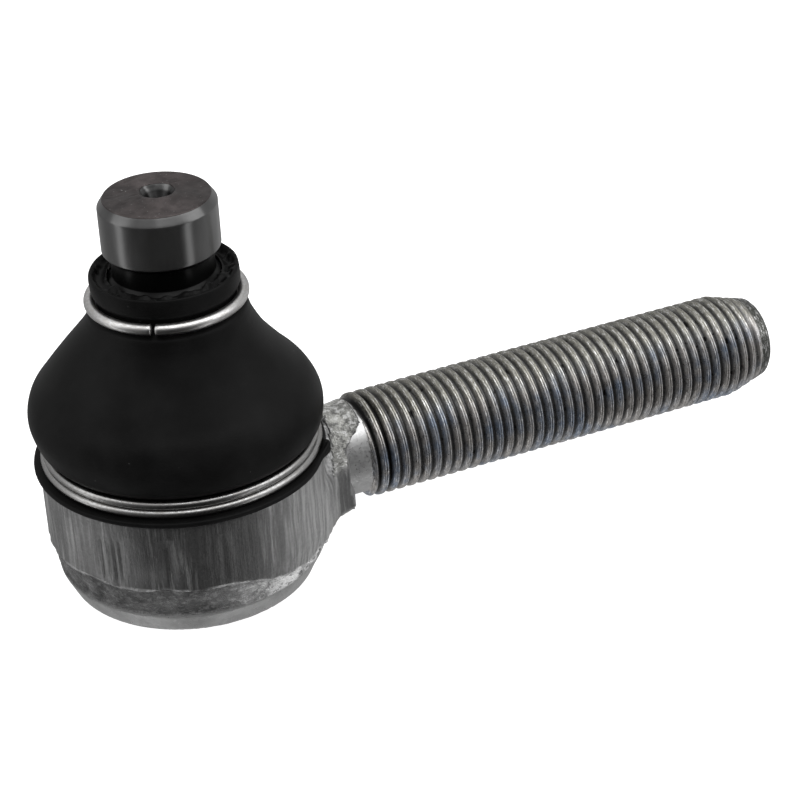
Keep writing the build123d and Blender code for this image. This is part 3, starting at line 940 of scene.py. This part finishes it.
def add_camera():
    """Camera at the reference view."""
    back = direction(CAMERA_AZIMUTH, CAMERA_ELEVATION)
    level = Vector((0, 0, 1)).cross(back).normalized()
    turn = Matrix.Rotation(math.radians(CAMERA_ROLL), 3, back)
    right = turn @ level
    up = back.cross(right)
    data = bpy.data.cameras.new("camera")
    data.lens = CAMERA_LENS
    data.sensor_width = 36.0
    data.clip_start = 0.01
    camera = bpy.data.objects.new("camera", data)
    bpy.context.scene.collection.objects.link(camera)
    place = (Vector(CAMERA_TARGET) + back * CAMERA_DISTANCE) * MM
    axes = Matrix((right, up, back)).transposed().to_4x4()
    camera.matrix_world = Matrix.Translation(place) @ axes
    bpy.context.scene.camera = camera


def add_softbox(name, azimuth, elevation, distance, size, power):
    """Rectangular area light aimed at the object; azimuth is taken from the camera's."""
    back = direction(CAMERA_AZIMUTH + azimuth, elevation)
    data = bpy.data.lights.new(name, "AREA")
    data.shape = "RECTANGLE"
    data.size, data.size_y = size
    data.energy = power
    light = bpy.data.objects.new(name, data)
    bpy.context.scene.collection.objects.link(light)
    light.location = Vector(CAMERA_TARGET) * MM + back * distance
    light.rotation_mode = "QUATERNION"
    light.rotation_quaternion = back.to_track_quat("Z", "Y")
    light.visible_camera = False


def card_glow(tree, place, height):
    """Narrow white cards standing on the table, which put upright bands on turned faces."""
    flat = add_node(tree, "ShaderNodeVectorMath", {0: place, 1: (1, 1, 0)}, operation="MULTIPLY")
    level = add_node(tree, "ShaderNodeVectorMath", {0: flat.outputs[0]}, operation="NORMALIZE")
    far_edge = math.cos(math.radians(CARD_HALF_WIDTH + 3))
    near_edge = math.cos(math.radians(CARD_HALF_WIDTH - 3))
    total = 0.0
    for azimuth in CARD_AZIMUTHS:
        toward = add_node(tree, "ShaderNodeVectorMath", {0: level.outputs[0], 1: tuple(direction(azimuth, 0))},
                          operation="DOT_PRODUCT")
        card = remap(tree, toward.outputs["Value"], far_edge, near_edge, 0.0, CARD_LIGHT)
        total = math_node(tree, "ADD", card, total)
    return math_node(tree, "MULTIPLY", total, remap(tree, height, 0.1, -0.1))


def add_world():
    """Soft surroundings: light overhead, round the sides and on the table, darker in front."""
    world = bpy.data.worlds.new("studio")
    world.use_nodes = True
    tree = world.node_tree
    place = add_node(tree, "ShaderNodeTexCoord")
    height = add_node(tree, "ShaderNodeSeparateXYZ", {0: place.outputs["Generated"]}).outputs[2]
    front = tuple(direction(FRONT_AZIMUTH, FRONT_ELEVATION))
    toward = add_node(tree, "ShaderNodeVectorMath", {0: place.outputs["Generated"], 1: front}, operation="DOT_PRODUCT")
    sides = remap(tree, toward.outputs["Value"], 0.1, 0.75, SIDE_LIGHT, SIDE_LIGHT * FRONT_SHADE)
    sides = math_node(tree, "MULTIPLY", sides, remap(tree, height, -0.25, 0.1, LOW_SHARE, 1.0))
    above = remap(tree, height, 0.35, 1.0, 0.0, SKY_LIGHT - SIDE_LIGHT)
    below = remap(tree, height, -0.7, -0.92, 0.0, TABLE_LIGHT)
    across = add_node(tree, "ShaderNodeSeparateXYZ", {0: place.outputs["Generated"]}).outputs[0]
    end = tuple(direction(RIGHT_AZIMUTH, -20))
    toward_end = add_node(tree, "ShaderNodeVectorMath", {0: place.outputs["Generated"], 1: end}, operation="DOT_PRODUCT")
    right = remap(tree, toward_end.outputs["Value"], 0.78, 0.95, 0.0, RIGHT_LIGHT)
    left = remap(tree, across, -0.5, -0.9, 0.0, LEFT_LIGHT)
    cards = card_glow(tree, place.outputs["Generated"], height)
    glow = sides
    for part in (above, below, right, left, cards):
        glow = math_node(tree, "ADD", glow, part)
    background = tree.nodes["Background"]
    background.inputs["Color"].default_value = (1, 1, 1, 1)
    tree.links.new(glow, background.inputs["Strength"])
    bpy.context.scene.world = world


def add_backdrop():
    """Pale floor that curves up far behind the object on every side."""
    rim = [(2200 + 800 * math.sin(a), FLOOR_Z + 800 * (1 - math.cos(a))) for a in np.linspace(0, math.pi / 2, 9)]
    profile = np.array([(0.05, FLOOR_Z), (600, FLOOR_Z)] + rim + [(3000, FLOOR_Z + 2500)])
    angles = np.arange(64) * 2 * math.pi / 64
    r, z = profile[:, :1], profile[:, 1:]
    points = np.stack([r * np.cos(angles), r * np.sin(angles), z + 0 * angles], -1).reshape(-1, 3)
    floor = mesh_object("backdrop", points, ring_faces(len(profile), 64, closed=False) + [list(range(64))])
    floor.data.shade_smooth()
    material, tree, shader, _ = new_material("pale_paper")
    shader.inputs["Base Color"].default_value = (0.4, 0.4, 0.4, 1)
    shader.inputs["Roughness"].default_value = 0.9
    shader.inputs["Emission Color"].default_value = (1, 1, 1, 1)
    shader.inputs["Emission Strength"].default_value = PAPER_GLOW
    floor.data.materials.append(material)
    floor.visible_glossy = False


def add_studio():
    """Pale floor, soft surroundings and softboxes."""
    add_world()
    add_backdrop()
    add_softbox("left_softbox", -78, 35, 0.9, (0.5, 1.0), 1.9)
    add_softbox("right_softbox", 85, 38, 0.9, (0.5, 1.0), 2.9)
    add_softbox("top_softbox", 40, 74, 1.0, (0.9, 0.7), 3.8)
    bpy.context.scene.view_settings.view_transform = "Standard"


def main():
    """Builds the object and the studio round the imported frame."""
    add_camera()
    add_housing(housing_material())
    add_stud(stud_material())
    add_boot(rubber_material())
    add_upper_ring(wire_material("upper_wire", 0.56, 0.3))
    add_lower_ring(wire_material("lower_wire", 0.37, 0.26))
    add_closing_plate(plate_material())
    dress_inner_nodes()
    add_studio()


main()
